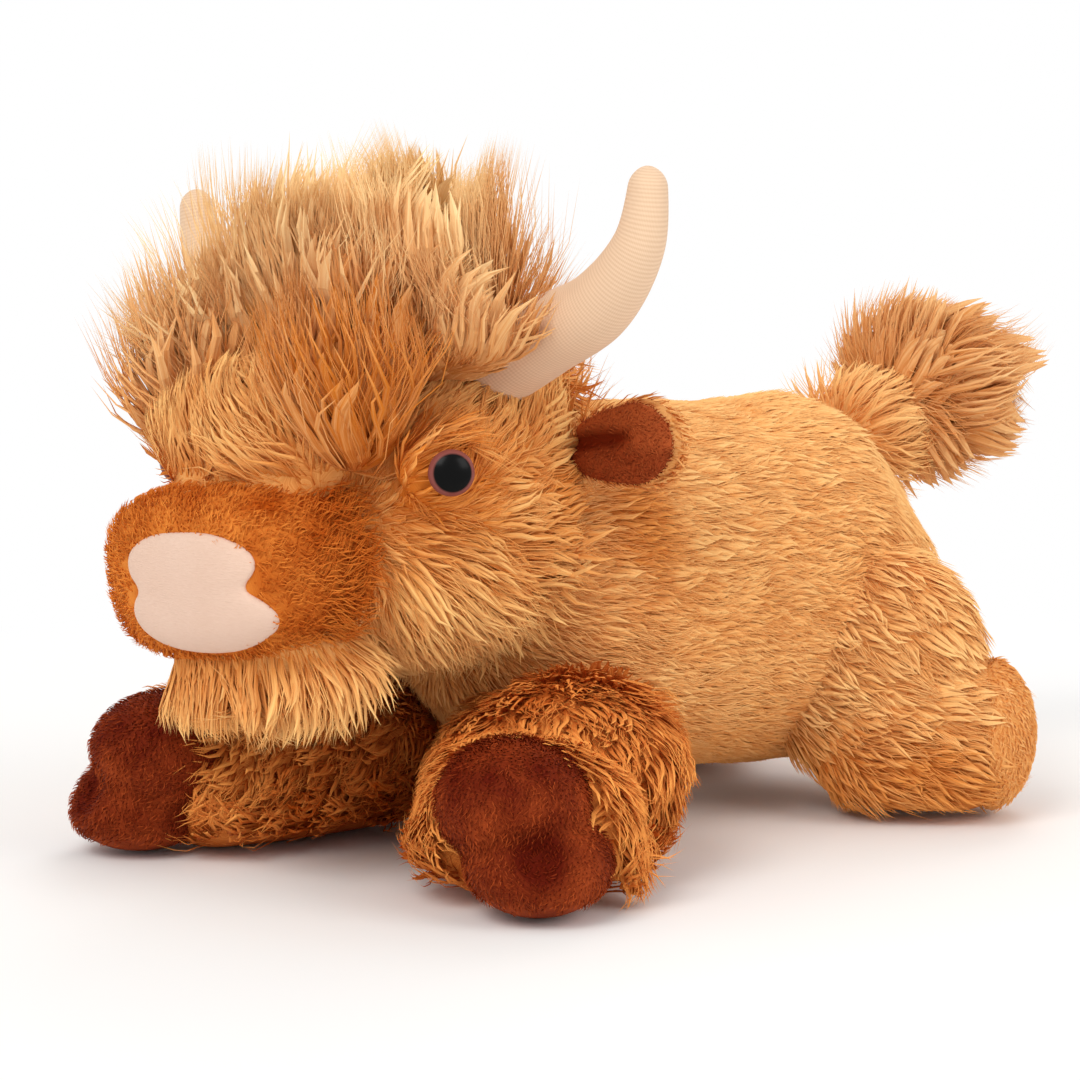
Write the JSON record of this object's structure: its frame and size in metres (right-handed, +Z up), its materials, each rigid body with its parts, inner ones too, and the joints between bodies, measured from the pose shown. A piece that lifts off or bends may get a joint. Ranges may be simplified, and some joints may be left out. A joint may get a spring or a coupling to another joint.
{
  "type": "plush cow",
  "caption": "Long-haired plush cow lying on its belly, with horns, a hanging forelock, split hooves and a tufted tail; head, ears, tail and legs swing at their seams.",
  "frame": {"origin": "on the floor, under the middle of the toy's bounding box", "axes": "+Z up, the cow looks along -Y, its left side is +X"},
  "size_m": [0.2389, 0.3815, 0.2279],
  "materials": {
    "golden_fur": "long-pile plush",
    "head_fur": "long-pile plush",
    "leg_fur": "long-pile plush",
    "tuft_fur": "extra-long-pile plush",
    "muzzle_pile": "short-pile plush",
    "brown_pile": "short-pile plush",
    "pink_fleece": "brushed fleece",
    "cream_weave": "ribbed woven cloth",
    "stuffing": "loose polyester fibre",
    "eye_plastic": "polished",
    "washer_plastic": "plain"
  },
  "bodies": {
    "trunk": {"body_cover": "golden_fur", "body_stuffing": "stuffing"},
    "head": {"head_cover": "head_fur", "head_stuffing": "stuffing", "muzzle_cover": "muzzle_pile", "nose_pad": "pink_fleece", "chin_cover": "golden_fur", "forelock": "tuft_fur", "horn_cover_left": "cream_weave", "horn_cover_right": "cream_weave", "horn_stuffing_left": "stuffing", "horn_stuffing_right": "stuffing", "eye_left": "eye_plastic", "eye_right": "eye_plastic", "eye_washer_left": "washer_plastic", "eye_washer_right": "washer_plastic"},
    "ear_left": {"ear_cover_left": "golden_fur", "ear_lining_left": "brown_pile"},
    "ear_right": {"ear_cover_right": "golden_fur", "ear_lining_right": "brown_pile"},
    "tail": {"tail_cover": "golden_fur", "tail_stuffing": "stuffing", "tail_tuft": "tuft_fur"},
    "front_leg_left": {"front_leg_cover_left": "leg_fur", "front_leg_stuffing_left": "stuffing", "front_hoof_left": "brown_pile"},
    "front_leg_right": {"front_leg_cover_right": "leg_fur", "front_leg_stuffing_right": "stuffing", "front_hoof_right": "brown_pile"},
    "rear_leg_left": {"rear_leg_cover_left": "leg_fur", "rear_leg_stuffing_left": "stuffing", "rear_sole_left": "golden_fur"},
    "rear_leg_right": {"rear_leg_cover_right": "leg_fur", "rear_leg_stuffing_right": "stuffing", "rear_sole_right": "golden_fur"}
  },
  "joints": [
    {"name": "head_turn", "type": "hinge", "parent": "trunk", "child": "head", "pos_m": [0.0018, -0.07893, 0.1], "axis": [0, 0, 1], "range_deg": [-10, 10], "stiffness_Nm_per_rad": 0.5},
    {"name": "ear_flap_left", "type": "hinge", "parent": "head", "child": "ear_left", "pos_m": [0.05, -0.06424, 0.13115], "axis": [-0.0349, 0.9994, 0], "range_deg": [-15, 15], "stiffness_Nm_per_rad": 0.02},
    {"name": "ear_flap_right", "type": "hinge", "parent": "head", "child": "ear_right", "pos_m": [-0.04984, -0.06773, 0.12679], "axis": [0.0349, -0.9994, 0], "range_deg": [-15, 15], "stiffness_Nm_per_rad": 0.02},
    {"name": "tail_swing", "type": "hinge", "parent": "trunk", "child": "tail", "pos_m": [0.0018, 0.10107, 0.12101], "axis": [0, 0, 1], "range_deg": [-25, 25], "stiffness_Nm_per_rad": 0.1},
    {"name": "front_leg_swing_left", "type": "hinge", "parent": "trunk", "child": "front_leg_left", "pos_m": [0.0438, -0.07293, 0], "axis": [0, 0, 1], "range_deg": [-4, 10], "stiffness_Nm_per_rad": 0.4},
    {"name": "front_leg_swing_right", "type": "hinge", "parent": "trunk", "child": "front_leg_right", "pos_m": [-0.0402, -0.08693, 0], "axis": [0, 0, -1], "range_deg": [-4, 10], "stiffness_Nm_per_rad": 0.4},
    {"name": "rear_leg_swing_left", "type": "hinge", "parent": "trunk", "child": "rear_leg_left", "pos_m": [0.0478, 0.06107, 0], "axis": [0, 0, 1], "range_deg": [-8, 8], "stiffness_Nm_per_rad": 0.4},
    {"name": "rear_leg_swing_right", "type": "hinge", "parent": "trunk", "child": "rear_leg_right", "pos_m": [-0.0442, 0.06107, 0], "axis": [0, 0, -1], "range_deg": [-8, 8], "stiffness_Nm_per_rad": 0.4}
  ]
}
